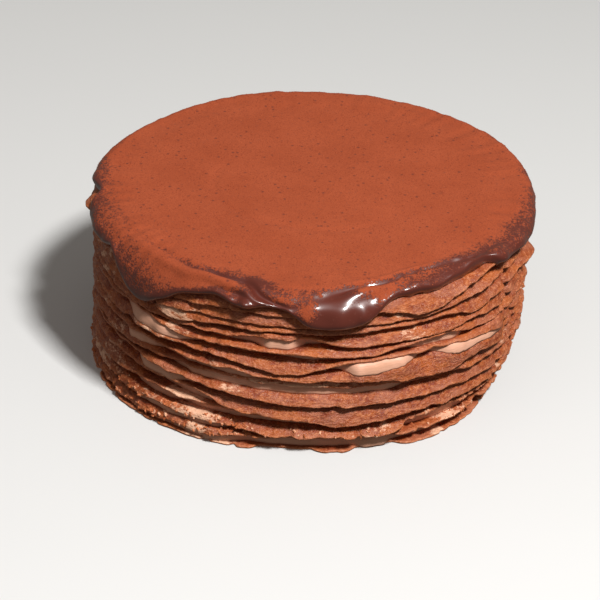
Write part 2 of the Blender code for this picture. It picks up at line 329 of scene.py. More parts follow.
STROKES = (
    Stroke(CREASE_RIGHT, ((0, 0), (6, -0.8), (10, -2), (22, -2), (30, -1.5), (45, -1.2), (56, -0.5),
           (64, 0)), 1.3),
    Stroke(beside(CREASE_RIGHT, -2.2), ((4, 0), (8, 0.3), (14, 0.2), (24, 0.4), (32, 0.4),
           (44, 0.3), (52, 0)), 0.9),
    Stroke(beside(CREASE_RIGHT, 2.9), ((0, 0), (6, 0.1), (11, 0.5), (15, 1.3), (22, 1.5), (35, 1.1),
           (50, 0.9), (64, 0)), 1.9),
    Stroke(CREASE_LEFT, ((-85, 0), (-60, -0.3), (-40, -0.8), (-28, -1.8), (-14, -1.9), (-6, -1.2),
           (0, 0)), 1.2),
    Stroke(beside(CREASE_LEFT, 2.6), ((-60, 0), (-45, 0.5), (-36, 1.1), (-24, 1.8), (-12, 1.3),
           (0, 0)), 1.5),
    Stroke(((-30, 13.5), (-20, 15), (-14, 16.4), (-8, 18.4), (0, 21)), ((-28, 0), (-22, -1),
           (-6, -1), (-1, 0)), 0.8),
    Stroke(((-78, 2), (-60, 0.5), (-40, 0.5)), ((-80, 0), (-70, -0.3), (-50, -0.3), (-38, 0)), 1.5),
    Stroke(((70, 12), (120, 13), (180, 11)), ((66, 0), (90, 0.4), (120, 0), (150, 0.5), (178, 0)), 2.2),
)

BEADS = (
    Spot(8.2, 20.4, 4.8, 3.9, 2.1), Spot(13.8, 20.6, 2.3, 2.3, 1.3), Spot(-15.4, 18.0, 2.5, 2.0, 2.7),
    Spot(-19.5, 17.6, 2.0, 1.8, 0.9), Spot(-5.0, 16.4, 2.0, 1.4, 0.8), Spot(0.4, 19.5, 3.4, 3.6, 1.1),
    Spot(29, 13.8, 2.6, 1.8, 0.6), Spot(40, 14.6, 2.6, 1.6, 0.7), Spot(46, 16.4, 2.0, 1.6, 0.9),
    Spot(52, 16.0, 2.4, 1.8, 0.7), Spot(59, 17.0, 2.4, 1.8, 0.7),
)

# Where the cocoa lies thicker, or where the ganache shows through
PATCHES = (
    Spot(-22, 7.6, 9.0, 2.4, -0.45), Spot(-14, 10.4, 7.0, 2.2, -0.45), Spot(-32, 12.6, 12.0, 2.6, 0.7),
    Spot(-8, 14.8, 6.0, 1.6, 0.4), Spot(-21, 15.6, 3.0, 1.6, 0.4), Spot(35, 11.4, 12.0, 1.2, 0.35),
    Spot(0.3, 18.6, 3.9, 3.4, 0.75), Spot(18, 13.2, 9.0, 3.2, 0.9), Spot(9, 21.5, 7.6, 5.0, -1.4),
    Spot(-15, 19.0, 3.4, 2.6, -0.8), Spot(-20, 13.2, 7.0, 2.0, 0.3), Spot(0, 23.5, 4.5, 1.8, -0.6),
    Spot(44, 11.5, 14.0, 3.4, -0.35), Spot(-50, 16.0, 12.0, 3.0, -0.15),
         Spot(-70, 10.0, 9.0, 4.0, -0.15),
)

# How thickly crumbs lie along the foot
CRUMBS: Marks = (
    (-180, 0), (-150, 0.2), (-120, 0.05), (-90, 0.1), (-65, 0.3), (-50, 0.7), (-36, 1), (-14, 0.9),
    (-6, 0.25), (6, 0.1), (14, 0.5), (24, 0.3), (30, 0.2), (38, 0.8), (50, 0.7), (65, 0.5), (80, 0.4),
    (110, 0.1), (150, 0.2),
)

# How far the top's outline strays from a circle
OUTLINE: Marks = (
    (-180, 0.3), (-150, 0.3), (-130, -0.4), (-110, 0), (-90, 0.2), (-70, 0), (70, 0), (85, 0.4),
    (98, 1.2), (110, 2.6), (125, 4), (140, 3.2), (150, 1.9), (165, 0.7),
)

# How far over the ganache's skin the cocoa covers it, counted outwards from the inner radius
COCOA_TO: Marks = (
    (-180, 22), (-150, 22), (-120, 21), (-100, 19), (-85, 16), (-70, 20), (-58, 19), (-52, 21),
    (-45, 21), (-38, 20), (-30, 18), (-26, 16), (-22, 12.5), (-15, 11), (-8, 12), (-3, 14),
    (5, 13.5), (15, 13), (22, 11), (28, 9), (46, 8.5), (55, 11), (65, 14), (80, 17), (95, 20),
    (110, 22.5), (140, 23),
)
COCOA_FADES: Marks = (
    (-180, 5), (-120, 6), (-100, 9), (-85, 13), (-60, 14), (-45, 9), (-30, 7), (-20, 5), (10, 4),
    (40, 4), (60, 8), (80, 9), (100, 6), (150, 5),
)

# How much cocoa is left beyond that, and how wide a strip along the edge is bare
COCOA_REST: Marks = (
    (-180, 0.2), (-100, 0.15), (-60, 0.34), (-30, 0.44), (-18, 0.46), (-6, 0.44), (0, 0.3), (4, 0.12),
    (8, 0.05), (15, 0.1), (20, 0.34), (35, 0.4), (60, 0.38), (80, 0.25), (120, 0.2),
)
BARE_EDGE: Marks = (
    (-180, 2), (-100, 2), (-80, 3), (-60, 4), (-45, 4.5), (-35, 3.5), (-25, 3), (0, 2.6), (30, 1.6),
    (60, 1.8), (90, 2), (120, 1.6),
)


# --- Lines around the cake, and heights over it ---

def eased(share: Array) -> Array:
    """0 below 0, 1 above 1, and a smooth step between them."""
    held = np.clip(share, 0.0, 1.0)
    return held * held * (3.0 - 2.0 * held)


def blurred(line: Array, degrees: float) -> Array:
    """The closed line, smoothed by a bell of this width.

    Args:
        line: one value, or one row of values, for each step around.
        degrees: the bell's standard deviation.

    Returns:
        The smoothed line, of the same shape.
    """
    orders = np.fft.rfftfreq(AROUND, 1.0 / AROUND)
    keep = np.exp(-0.5 * (orders * math.radians(degrees)) ** 2)
    spectrum = np.fft.rfft(line, axis=0)
    shaped = keep.reshape((-1,) + (1,) * (line.ndim - 1))
    return np.fft.irfft(spectrum * shaped, n=AROUND, axis=0)


def traced(marks: Marks, smooth: float = 0.8) -> Array:
    """A closed line through marks of (azimuth, value), one value for each step around."""
    places, values = zip(*sorted(marks))
    return blurred(np.interp(AZIMUTHS, places, values, period=360.0), smooth)


def waves(seed: int, size: float, coarsest: int, finest: int) -> Array:
    """A closed uneven line about 0.

    Args:
        seed: fixes the line.
        size: its standard deviation.
        coarsest: the fewest waves around.
        finest: the most waves around.

    Returns:
        One value for each step around.
    """
    draw = np.random.default_rng(seed)
    orders = np.arange(coarsest, finest + 1)
    phases = draw.uniform(0.0, TAU, orders.size)
    weights = draw.normal(size=orders.size) * (orders / coarsest) ** -0.6
    line = (weights[:, None] * np.sin(orders[:, None] * ANGLES + phases[:, None])).sum(axis=0)
    return size * line / line.std()


def front() -> Array:
    """1 along the front of the cake, and 0 behind, for each step around."""
    return eased((FRONT_NONE - np.abs(AZIMUTHS)) / (FRONT_NONE - FRONT_FULL))


def tucked(layer: int) -> Array:
    """How much further in a layer ends on the right, where the cake leans out over its foot."""
    low = max(0.0, 1.0 - (layer - 1) / 5.0) ** 1.5
    return LEAN * low * eased((50.0 - np.abs(from_azimuth(LEANS_AT))) / 30.0)


def bulged(layer: int) -> Array:
    """How much further out than a circle a layer ends; the upper ones follow the top's outline."""
    return traced(OUTLINE, 4.0) * (0.35 + 0.65 * eased((layer - 6.0) / 6.0))


def drape(wanted: Array, ground: Array, steepest: float) -> Array:
    """Lays a sheet over what is below it.

    Args:
        wanted: the heights it would have with nothing below, by azimuth and radius.
        ground: the heights of what is below.
        steepest: how steeply it can hang, as a slope.

    Returns:
        The heights of its underside.
    """
    lie = np.maximum(wanted, ground + TOUCH)
    for column in range(1, RADII.size):
        lie[:, column] = np.maximum(lie[:, column], lie[:, column - 1] - steepest * STEP)
    return lie


def first_below(lie: Array, level: Array) -> Array:
    """The radius where each row of heights first comes down to its level."""
    below = lie <= level[:, None]
    found = np.where(below.any(axis=1), below.argmax(axis=1), RADII.size - 1)
    return RADII[found]


@dataclass
class Path:
    """A section through a sheet at each step around, from the inner radius to the rim.

    Attributes:
        radius: radii by step and place along.
        height: heights, in the same order.
        along: distance from the inner radius, in the same order.
        to_rim: distance left to the rim, in the same order.
    """

    radius: Array
    height: Array
    along: Array
    to_rim: Array

    @classmethod
    def follow(cls, lie: Array, reach: Array, shares: Array, tip: float) -> Path:
        """Samples the heights evenly along the sheet, and closely at its rim.

        Args:
            lie: heights by step and radius.
            reach: the rim's radius for each step.
            shares: where to sample the part before the tip, from 0 to 1.
            tip: the length of the rim that is rounded off.

        Returns:
            The path, with one column for each share and one for each of TIP_TURNS.
        """
        steps = np.hypot(STEP, np.diff(lie, axis=1))
        lengths = np.concatenate([np.zeros((AROUND, 1)), np.cumsum(steps, axis=1)], axis=1)
        radius = np.empty((AROUND, shares.size + TIP_TURNS.size))
        height = np.empty_like(radius)
        along = np.empty_like(radius)
        for step in range(AROUND):
            whole = np.interp(reach[step], RADII, lengths[step])
            wanted = np.concatenate([
                shares * (whole - tip),
                whole - tip + tip * np.sin(TIP_TURNS),
            ])
            along[step] = wanted
            radius[step] = np.interp(wanted, lengths[step], RADII)
            height[step] = np.interp(wanted, lengths[step], lie[step])
        return cls(radius, height, along, along[:, -1:] - along)

    def smoothed(self, steps: int) -> Path:
        """The path with its bends eased along its length, that many times over."""
        radius = self.radius.copy()
        height = self.height.copy()
        for _ in range(steps):
            for line in (radius, height):
                line[:, 1:-1] = 0.25 * line[:, :-2] + 0.5 * line[:, 1:-1] + 0.25 * line[:, 2:]
        return Path(radius, height, self.along, self.to_rim)

    def normals(self) -> tuple[Array, Array]:
        """The outward side's direction at each place: its radius and height parts."""
        out = np.gradient(self.radius, axis=1)
        up = np.gradient(self.height, axis=1)
        size = np.maximum(np.hypot(out, up), 1e-9)
        return -up / size, out / size

    def rounding(self, tip: float) -> Array:
        """The share of the full thickness at each place, rounded off over a tip of this length."""
        return np.sqrt(np.clip(1.0 - ((tip - self.to_rim) / tip).clip(0.0) ** 2, 0.0, 1.0))

    def raised(self, by: Array) -> Path:
        """The path moved outwards from its own surface."""
        side, up = self.normals()
        return Path(self.radius + side * by, self.height + up * by, self.along, self.to_rim)


TIP_TURNS = np.radians([18.0, 36.0, 54.0, 72.0, 90.0])


class Pile:
    """What has been laid so far: the height of its top for each azimuth and radius."""

    def __init__(self) -> None:
        """Starts with the bare surface that the cake stands on."""
        self.top = np.zeros((AROUND, RADII.size)) - TOUCH

    def cover(self, path: Path) -> None:
        """Takes a newly laid sheet's outer side as part of the pile."""
        for step in range(AROUND):
            radius = np.maximum.accumulate(path.radius[step])
            fresh = np.interp(RADII, radius, path.height[step], right=-1.0)
            self.top[step] = np.maximum(self.top[step], fresh)


# --- Node trees written as expressions ---

Value = Any


def operator(operation: str, reflected: bool = False) -> Callable[[Wire, Value], Wire]:
    """A Wire's operator that adds one Math node."""
    def combined(wire: Wire, other: Value) -> Wire:
        """The two values, taken together."""
        return wire.graph.maths(operation, *((other, wire) if reflected else (wire, other)))
    return combined


@dataclass(frozen=True)
class Wire:
    """A value that runs through a node tree, with Python's operators."""

    graph: Graph
    socket: bpy.types.NodeSocket

    __add__, __radd__ = operator("ADD"), operator("ADD", reflected=True)
    __sub__, __rsub__ = operator("SUBTRACT"), operator("SUBTRACT", reflected=True)
    __mul__, __rmul__ = operator("MULTIPLY"), operator("MULTIPLY", reflected=True)
    __truediv__, __rtruediv__ = operator("DIVIDE"), operator("DIVIDE", reflected=True)

    def held(self) -> Wire:
        """The value, kept between 0 and 1."""
        return self.graph.maths("ADD", self, 0.0, use_clamp=True)

    def rising(self, low: float, high: float) -> Wire:
        """0 below low, 1 above high, and a smooth step between them."""
        return self.graph.ramped(self, low, high, 0.0, 1.0)

    def falling(self, low: float, high: float) -> Wire:
        """1 below low, 0 above high, and a smooth step between them."""
        return self.graph.ramped(self, low, high, 1.0, 0.0)


class Graph:
    """A shader or geometry node tree, built by expressions."""

    def __init__(self, tree: bpy.types.NodeTree) -> None:
        """Works on this tree."""
        self.tree = tree

    def add(
        self,
        kind: str,
        settings: Mapping[str, Any] | None = None,
        sockets: Mapping[str | int, Value] | None = None,
    ) -> bpy.types.Node:
        """Adds a node.

        Args:
            kind: the node's type.
            settings: what is set on the node itself, before its sockets.
            sockets: values or wires for its inputs, by name or place.

        Returns:
            The node.
        """
        node = self.tree.nodes.new(kind)
        for name, value in (settings or {}).items():
            setattr(node, name, value)
        for name, value in (sockets or {}).items():
            if isinstance(value, Wire):
                self.tree.links.new(value.socket, node.inputs[name])
            else:
                node.inputs[name].default_value = value
        return node

    def wire(self, node: bpy.types.Node, output: str | int = 0) -> Wire:
        """The wire out of one of a node's outputs."""
        return Wire(self, node.outputs[output])

    def out(self, kind: str, settings: Mapping[str, Any] | None = None,
            sockets: Mapping[str | int, Value] | None = None, output: str | int = 0) -> Wire:
        """The wire out of a new node, which is given as in add."""
        return self.wire(self.add(kind, settings, sockets), output)

    def maths(self, operation: str, *values: Value, use_clamp: bool = False) -> Wire:
        """A Math node on these values."""
        settings = {"operation": operation, "use_clamp": use_clamp}
        return self.out("ShaderNodeMath", settings, dict(enumerate(values)))

    def vectors(self, operation: str, sockets: Mapping[str | int, Value]) -> Wire:
        """A Vector Math node on these values."""
        return self.out("ShaderNodeVectorMath", {"operation": operation}, sockets)

    def ramped(self, value: Wire, low: float, high: float, start: float, end: float) -> Wire:
        """The value taken smoothly from one range to another."""
        sockets = {0: value, 1: low, 2: high, 3: start, 4: end}
        return self.out("ShaderNodeMapRange", {"interpolation_type": "SMOOTHSTEP"}, sockets)

    def blend(self, share: Value, first: Value, second: Value) -> Wire:
        """A colour between two others."""
        sockets = {0: share, 6: first, 7: second}
        return self.out("ShaderNodeMix", {"data_type": "RGBA"}, sockets, output=2)

    def noise(self, place: Wire, size: float, detail: float = 2.0, rough: float = 0.5,
              squeeze: tuple[float, float, float] | None = None) -> Wire:
        """Noise between 0 and 1.

        Args:
            place: where it is taken.
            size: how large its features are, in millimetres.
            detail: how many finer levels it has.
            rough: how strong they are.
            squeeze: how much smaller than that its features are, by direction.

        Returns:
            The noise.
        """
        if squeeze:
            place = self.vectors("MULTIPLY", {0: place, 1: squeeze})
        sockets = {"Vector": place, "Scale": 1.0 / (size * MM), "Detail": detail, "Roughness": rough}
        return self.out("ShaderNodeTexNoise", {}, sockets)

    def attribute(self, name: str) -> Wire:
        """A number stored on the mesh, in a shader."""
        return self.out("ShaderNodeAttribute", {"attribute_name": name}, output="Fac")

    def bump(self, height: Wire, depth: float) -> Wire:
        """A bumped normal, for relief this many millimetres deep."""
        sockets = {"Height": height, "Distance": depth * MM, "Strength": 1.0}
        return self.out("ShaderNodeBump", {}, sockets)


class Finish:
    """What all finishes share.

    Attributes:
        name: the material's name.
        even: what is the same all over the surface, by the shader's socket.
    """

    name = ""
    even: Mapping[str, float] = {}

    def varied(self, graph: Graph, place: Wire) -> dict[str, Wire]:
        """What varies over the surface, by the shader's socket."""
        raise NotImplementedError

    def material(self) -> bpy.types.Material:
        """The finish as a material."""
        material = bpy.data.materials.new(self.name)
        material.use_nodes = True
        shader = material.node_tree.nodes["Principled BSDF"]
        graph = Graph(material.node_tree)
        place = graph.out("ShaderNodeTexCoord", output="Object")
        for socket, value in self.even.items():
            shader.inputs[socket].default_value = value
        for socket, wire in self.varied(graph, place).items():
            graph.tree.links.new(wire.socket, shader.inputs[socket])
        return material


@dataclass(frozen=True)
class CrepeFinish(Finish):
    """A browned cocoa crepe: moist and mottled, filmed here and there with cream; its pale spots and
    pale rim are partly its own colour and partly painted highlight.
    """

    name = "crepe_finish"
    even = {"IOR": 1.45, "Specular IOR Level": 0.5}
    brown: Colour = (0.33, 0.069, 0.023, 1.0)
    orange: Colour = (0.47, 0.116, 0.029, 1.0)
    dark: Colour = (0.23, 0.032, 0.009, 1.0)
    # pale: partly the crepe's own lighter spots and thin rim, partly painted highlight
    pale: Colour = (0.72, 0.265, 0.115, 1.0)
    film: Colour = (0.45, 0.148, 0.080, 1.0)
    cream: Colour = (0.90, 0.51, 0.33, 1.0)

    def varied(self, graph: Graph, place: Wire) -> dict[str, Wire]:
        """Brown with dark patches and lines, pale spots and rim that are partly its own colour and
        partly painted highlight, and cream where it is smeared.
        """
        patches = graph.noise(place, 3.0, 4.0, 0.6, (0.55, 0.55, 1.3))
        spots = graph.noise(place, 1.1, 3.0, 0.65, (0.8, 0.8, 1.2))
        lines = graph.noise(place, 1.0, 3.0, 0.6, (0.16, 0.16, 2.2))
        grain = graph.noise(place, 0.5, 3.0, 0.65, (0.6, 0.6, 1.2))
        tone = graph.noise(place, 5.0, 2.0, 0.5, (0.5, 0.5, 1.2))
        torn = graph.noise(place, 2.4, 4.0, 0.7, (0.45, 0.45, 1.4))
        smear = graph.attribute("smear")

        colour = graph.blend(tone.rising(0.42, 0.66), self.brown, self.orange)
        colour = graph.blend(patches.rising(0.45, 0.66) * 0.95, colour, self.dark)
        colour = graph.blend(lines.rising(0.55, 0.68) * 0.3, colour, self.dark)
        colour = graph.blend(tone.falling(0.36, 0.50) * 0.65, colour, self.film)
        # Painted highlight, in part: the pale spots, grain and rim stand for the crepe's own paler
        # spots and thin edge, and also for glints on its moist surface.
        flecks_and_glints = spots.rising(0.50, 0.66) * 0.52 + graph.attribute("rim") * 0.4
        light = flecks_and_glints + grain.rising(0.56, 0.70) * 0.22
        colour = graph.blend(light.held(), colour, self.pale)
        covered = (smear + (torn - 0.5) * 2.4 * smear.rising(0.0, 0.3)).rising(0.40, 0.75)
        return {
            "Base Color": graph.blend(covered, colour, self.cream),
            "Roughness": 0.36 + (spots - 0.5) * 0.5 - covered * 0.04,
            "Normal": graph.bump(spots * 0.9 + grain * 0.3 + lines * 0.5, 0.75),
        }


@dataclass(frozen=True)
class CreamFinish(Finish):
    """Whipped light chocolate cream: satin, smooth, faintly streaked by the knife."""

    name = "cream_finish"
    even = {"IOR": 1.44, "Specular IOR Level": 0.4}
    body: Colour = (0.84, 0.455, 0.315, 1.0)
    deep: Colour = (0.72, 0.375, 0.24, 1.0)

    def varied(self, graph: Graph, place: Wire) -> dict[str, Wire]:
        """Clouds of a deeper tone, and level streaks."""
        clouds = graph.noise(place, 6.0, 3.0)
        streaks = graph.noise(place, 1.2, 2.0, 0.5, (0.35, 0.35, 2.2))
        share = (clouds.rising(0.35, 0.70) * 0.7 + streaks * 0.3).held()
        return {
            "Base Color": graph.blend(share, self.body, self.deep),
            "Roughness": 0.38 + streaks * 0.16,
            "Normal": graph.bump(streaks * 0.7 + graph.noise(place, 0.7) * 0.3, 0.14),
        }


@dataclass(frozen=True)
class GanacheFinish(Finish):
    """Dark ganache, wet and glossy where it is bare, and dry red-brown cocoa where it is dusted."""

    name = "ganache_finish"
    even = {"IOR": 1.46, "Coat Roughness": 0.16, "Coat IOR": 1.5}
    cocoa: Colour = (0.410, 0.078, 0.024, 1.0)
    cocoa_deep: Colour = (0.345, 0.059, 0.015, 1.0)
    cocoa_dark: Colour = (0.21, 0.030, 0.008, 1.0)
    ganache: Colour = (0.115, 0.021, 0.012, 1.0)
    speck: Colour = (0.13, 0.026, 0.014, 1.0)

    def varied(self, graph: Graph, place: Wire) -> dict[str, Wire]:
        """Powder in drifts, with grain and a few dark specks, broken up where it thins out; where it is
        taken out of the creases, the bare ganache is painted shade.
        """
        grain = graph.noise(place, 0.75, 3.0, 0.65)
        clumps = graph.noise(place, 2.0, 3.0, 0.6)
        fine = graph.noise(place, 0.3, 2.0, 0.6)
        drifts = graph.noise(place, 18.0, 4.0, 0.6)
        sockets = {"Vector": place, "Scale": 1.0 / (3.0 * MM)}
        cells = graph.add("ShaderNodeTexVoronoi", {"feature": "F1"}, sockets)
        chosen = graph.wire(cells, "Color").rising(0.48, 0.54)
        specks = (1.0 - graph.wire(cells, "Distance").rising(0.10, 0.26)) * chosen
        broken = grain.rising(0.32, 0.68) * 0.85 + clumps.rising(0.32, 0.68) * 0.45 - 0.65
        # The stored cover holds painted shade: cocoa is taken out of the creases so the dark ganache
        # shows there as shadow.
        cover = (graph.attribute("dust_and_crease_shade") + broken * 0.75).rising(0.30, 0.72)

        powder = graph.blend(drifts.rising(0.30, 0.70) * 0.7, self.cocoa, self.cocoa_deep)
        grainy = (fine.rising(0.48, 0.68) * 0.6 + grain.rising(0.5, 0.75) * 0.55).held()
        powder = graph.blend(grainy, powder, self.cocoa_dark)
        powder = graph.blend(specks * 0.75, powder, self.speck)
        bare = 1.0 - cover
        return {
            "Base Color": graph.blend(cover, self.ganache, powder),
            "Roughness": 0.92 - bare * 0.56,
            "Coat Weight": bare * 0.7,
            "Normal": graph.bump((grain * 0.5 + fine * 0.5) * cover + clumps * 0.015, 0.26),
        }


@dataclass(frozen=True)
class GrainFinish(Finish):
    """Loose cocoa: dry, lighter and darker from grain to grain."""

    name = "grain_finish"
    even = {"Specular IOR Level": 0.2}
    light: Colour = (0.44, 0.105, 0.042, 1.0)
    dark: Colour = (0.22, 0.042, 0.018, 1.0)

    def varied(self, graph: Graph, place: Wire) -> dict[str, Wire]:
        """Two tones, from place to place."""
        shade = graph.noise(place, 1.1)
        return {
            "Base Color": graph.blend(shade.rising(0.42, 0.60), self.light, self.dark),
            "Roughness": 0.85 + shade * 0.15,
            "Normal": graph.bump(graph.noise(place, 0.2), 0.04),
        }


@dataclass(frozen=True)
class CrumbFinish(Finish):
    """Torn bits, some of crepe and some of cream."""

    name = "crumb_finish"
    even = {"Specular IOR Level": 0.45}
    crepe: Colour = (0.56, 0.165, 0.055, 1.0)
    cream: Colour = (0.88, 0.46, 0.28, 1.0)

    def varied(self, graph: Graph, place: Wire) -> dict[str, Wire]:
        """Crepe here and cream there."""
        grain = graph.noise(place, 0.5, 3.0, 0.6)
        kind = graph.noise(place, 4.0).rising(0.50, 0.60)
        return {
            "Base Color": graph.blend(kind, self.crepe, self.cream),
            "Roughness": 0.42 + grain * 0.3,
            "Normal": graph.bump(grain, 0.3),
        }


@dataclass(frozen=True)
class FloorFinish(Finish):
    """The pale matt surface that the cake stands on, with painted shade towards the back right."""

    name = "floor_finish"
    even = {"Roughness": 0.6}
    tone: Colour = (0.77, 0.775, 0.775, 1.0)
    # far tone: painted shade where the light falls off towards the back right
    far_painted_shade_tone: Colour = (0.56, 0.575, 0.57, 1.0)

    def varied(self, graph: Graph, place: Wire) -> dict[str, Wire]:
        """Darker towards the back right, as painted shade."""
        sockets = {0: place, 1: (0.5, 0.85, 0.0)}
        dot = graph.add("ShaderNodeVectorMath", {"operation": "DOT_PRODUCT"}, sockets)
        faint = (graph.noise(place, 180.0, 3.0) - 0.5) * 0.08
        shade = (graph.wire(dot, "Value").rising(-0.35, 1.1) + faint).held()
        return {"Base Color": graph.blend(shade, self.tone, self.far_painted_shade_tone)}


# --- Meshes ---

def placed(name: str, data: bpy.types.ID) -> bpy.types.Object:
    """A new object of the scene, with this data."""
    made = bpy.data.objects.new(name, data)
    bpy.context.scene.collection.objects.link(made)
    return made


@dataclass
class Rows:
    """Rings of points that make one closed skin, from the middle below to the middle above.

    Attributes:
        radius: one row for each ring, one column for each step around.
        height: heights, in the same order.
        numbers: further values stored on the mesh, in the same order.
    """

    radius: Array
    height: Array
    numbers: dict[str, Array] = field(default_factory=dict)

    def places(self) -> Array:
        """The points of all rings in metres, ring by ring."""
        x = self.radius * np.sin(ANGLES)
        y = -self.radius * np.cos(ANGLES)
        return np.stack([x, y, self.height], axis=-1).reshape(-1, 3) * MM

    def piece(self, name: str) -> bpy.types.Object:
        """Makes the closed mesh.

        Args:
            name: the piece's name.

        Returns:
            The piece, linked to the scene.
        """
        rings = self.radius.shape[0]
        centres = [(0, 0, self.height[0].mean() * MM), (0, 0, self.height[-1].mean() * MM)]
        places = np.concatenate([self.places(), centres])
        grid = np.arange(rings * AROUND).reshape(rings, AROUND)
        after = np.roll(grid, -1, axis=1)
        quads = np.stack([grid[:-1], after[:-1], after[1:], grid[1:]], axis=-1).reshape(-1, 4)
        below, above = rings * AROUND, rings * AROUND + 1
        fans = [(below, after[0][step], grid[0][step]) for step in range(AROUND)]
        fans += [(above, grid[-1][step], after[-1][step]) for step in range(AROUND)]
        mesh = bpy.data.meshes.new(name)
        mesh.from_pydata(places.tolist(), [], quads.tolist() + [tuple(map(int, f)) for f in fans])
        mesh.shade_smooth()
        for label, values in self.numbers.items():
            flat = values.reshape(-1)
            flat = np.concatenate([flat, [flat[0], flat[-1]]]).astype(np.float32)
            mesh.attributes.new(label, "FLOAT", "POINT").data.foreach_set("value", flat)
        return placed(name, mesh)


def shell(lower: Path, upper: Path, every: int) -> tuple[Array, Array, Array]:
    """Joins an underside and an outer side into rings.

    Args:
        lower: the underside, from the inner radius to the rim.
        upper: the outer side, likewise.
        every: only every so many of the underside's places are kept before the tip.

    Returns:
        Radii and heights ring by ring, and which column of the path each ring comes from.
    """
    columns = np.arange(lower.radius.shape[1])
    body = columns[: columns.size - TIP_TURNS.size]
    kept = np.concatenate([body[::every], columns[body.size:]])
    back = columns[::-1][1:]
    radius = np.concatenate([lower.radius[:, kept], upper.radius[:, back]], axis=1)
    height = np.concatenate([lower.height[:, kept], upper.height[:, back]], axis=1)
    return radius.T, height.T, np.concatenate([kept, back])


def modified(piece: bpy.types.Object, tree: bpy.types.NodeTree, inputs: Mapping[str, Any]) -> None:
    """Runs a geometry tree on a piece and keeps the result as its plain mesh.

    Args:
        piece: the piece, whose mesh is replaced.
        tree: the geometry tree.
        inputs: the tree's inputs, by name.
    """
    modifier = piece.modifiers.new(tree.name, "NODES")
    modifier.node_group = tree
    given = [item for item in tree.interface.items_tree if item.in_out == "INPUT"]
    names = {item.name: item.identifier for item in given}
    for name, value in inputs.items():
        modifier[names[name]] = value
    evaluated = piece.evaluated_get(bpy.context.evaluated_depsgraph_get())
    made = bpy.data.meshes.new_from_object(evaluated)
    made.name = piece.name
    piece.modifiers.clear()
    piece.data = made


def keep(piece: bpy.types.Object, slot: str, nodes: Iterable[str] = ()) -> None:
    """Makes a finished piece part of the cake.

    Args:
        piece: the piece.
        slot: not used.
        nodes: the CAD nodes that it stands for.
    """
    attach(piece, "root")
    for node in nodes:
        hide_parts(node)
    log.info("%s: %d faces", piece.name, len(piece.data.polygons))


class GeometryTree:
    """A geometry node tree with named inputs that ends in Realize Instances and Set Material."""

    def __init__(self, name: str, inputs: Mapping[str, tuple[str, Any]]) -> None:
        """Starts the tree.

        Args:
            name: its name.
            inputs: socket type and usual value of each input, by name.
        """
        self.tree = bpy.data.node_groups.new(name, "GeometryNodeTree")
        interface = self.tree.interface
        interface.new_socket("Geometry", in_out="INPUT", socket_type="NodeSocketGeometry")
        for label, (kind, usual) in inputs.items():
            socket = interface.new_socket(label, in_out="INPUT", socket_type=kind)
            if usual is not None:
                socket.default_value = usual
        interface.new_socket("Material", in_out="INPUT", socket_type="NodeSocketMaterial")
        interface.new_socket("Geometry", in_out="OUTPUT", socket_type="NodeSocketGeometry")
        self.graph = Graph(self.tree)
        self.start = self.graph.add("NodeGroupInput")

    def given(self, label: str) -> Wire:
        """The wire of one of the tree's inputs."""
        return self.graph.wire(self.start, label)

    def stored(self, label: str, kind: str = "FLOAT") -> Wire:
        """A value stored on the mesh."""
        settings = {"data_type": kind}
        return self.graph.out("GeometryNodeInputNamedAttribute", settings, {"Name": label})

    def drawn(self, low: Value, high: Value, seed: Value, kind: str = "FLOAT") -> Wire:
        """A random value for each point."""
        first = 0 if kind == "FLOAT_VECTOR" else 2
        sockets = {first: low, first + 1: high, "Seed": seed}
        node = self.graph.add("FunctionNodeRandomValue", {"data_type": kind}, sockets)
        return self.graph.wire(node, 0 if kind == "FLOAT_VECTOR" else 1)

    def end(self, geometry: Wire) -> bpy.types.NodeTree:
        """Closes the tree on this geometry and returns it."""
        real = self.graph.out("GeometryNodeRealizeInstances", {}, {0: geometry})
        sockets = {"Geometry": real, "Material": self.given("Material")}
        dressed = self.graph.out("GeometryNodeSetMaterial", {}, sockets)
        self.graph.add("NodeGroupOutput", {}, {0: dressed})
        return self.tree


def ripple_tree() -> bpy.types.NodeTree:
    """A tree that ripples a sheet where it hangs, both its sides together."""
    made = GeometryTree("rippled", {
        "Height": ("NodeSocketFloat", 0.3 * MM),
        "Size": ("NodeSocketFloat", 4.0),
        "Roughening": ("NodeSocketFloat", 0.1 * MM),
        "Seed": ("NodeSocketFloat", 0.0),
    })
    graph = made.graph
    place = graph.out("GeometryNodeInputPosition")

    flat = graph.vectors("MULTIPLY", {0: place, 1: (0.5, 0.5, 1.6)})

    def uneven(size: Value, detail: float) -> Wire:
        """Noise about 0 with features of this size in millimetres."""
        sockets = {"Vector": flat, "W": made.given("Seed"), "Scale": 1.0 / MM / size, "Detail": detail}
        return graph.out("ShaderNodeTexNoise", {"noise_dimensions": "4D"}, sockets) - 0.5

    loose = made.stored("loose")
    outwards = graph.add("ShaderNodeCombineXYZ", {}, {
        0: made.stored("side_x"), 1: made.stored("side_y"), 2: made.stored("side_z"),
    })
    wave = uneven(made.given("Size"), 2.0) * made.given("Height") * loose
    bend = graph.vectors("SCALE", {0: graph.wire(outwards), "Scale": wave})
    facing = graph.out("GeometryNodeInputNormal")
    rough = uneven(1.4, 3.0) * made.given("Roughening") * loose
    bumps = graph.vectors("SCALE", {0: facing, "Scale": rough})
    both = graph.vectors("ADD", {0: bend, 1: bumps})
    sockets = {"Geometry": made.given("Geometry"), "Offset": both}
    return made.end(graph.out("GeometryNodeSetPosition", {}, sockets))


class Grain(Enum):
    """The two shapes that are scattered."""

    POWDER = "powder"
    CRUMB = "crumb"


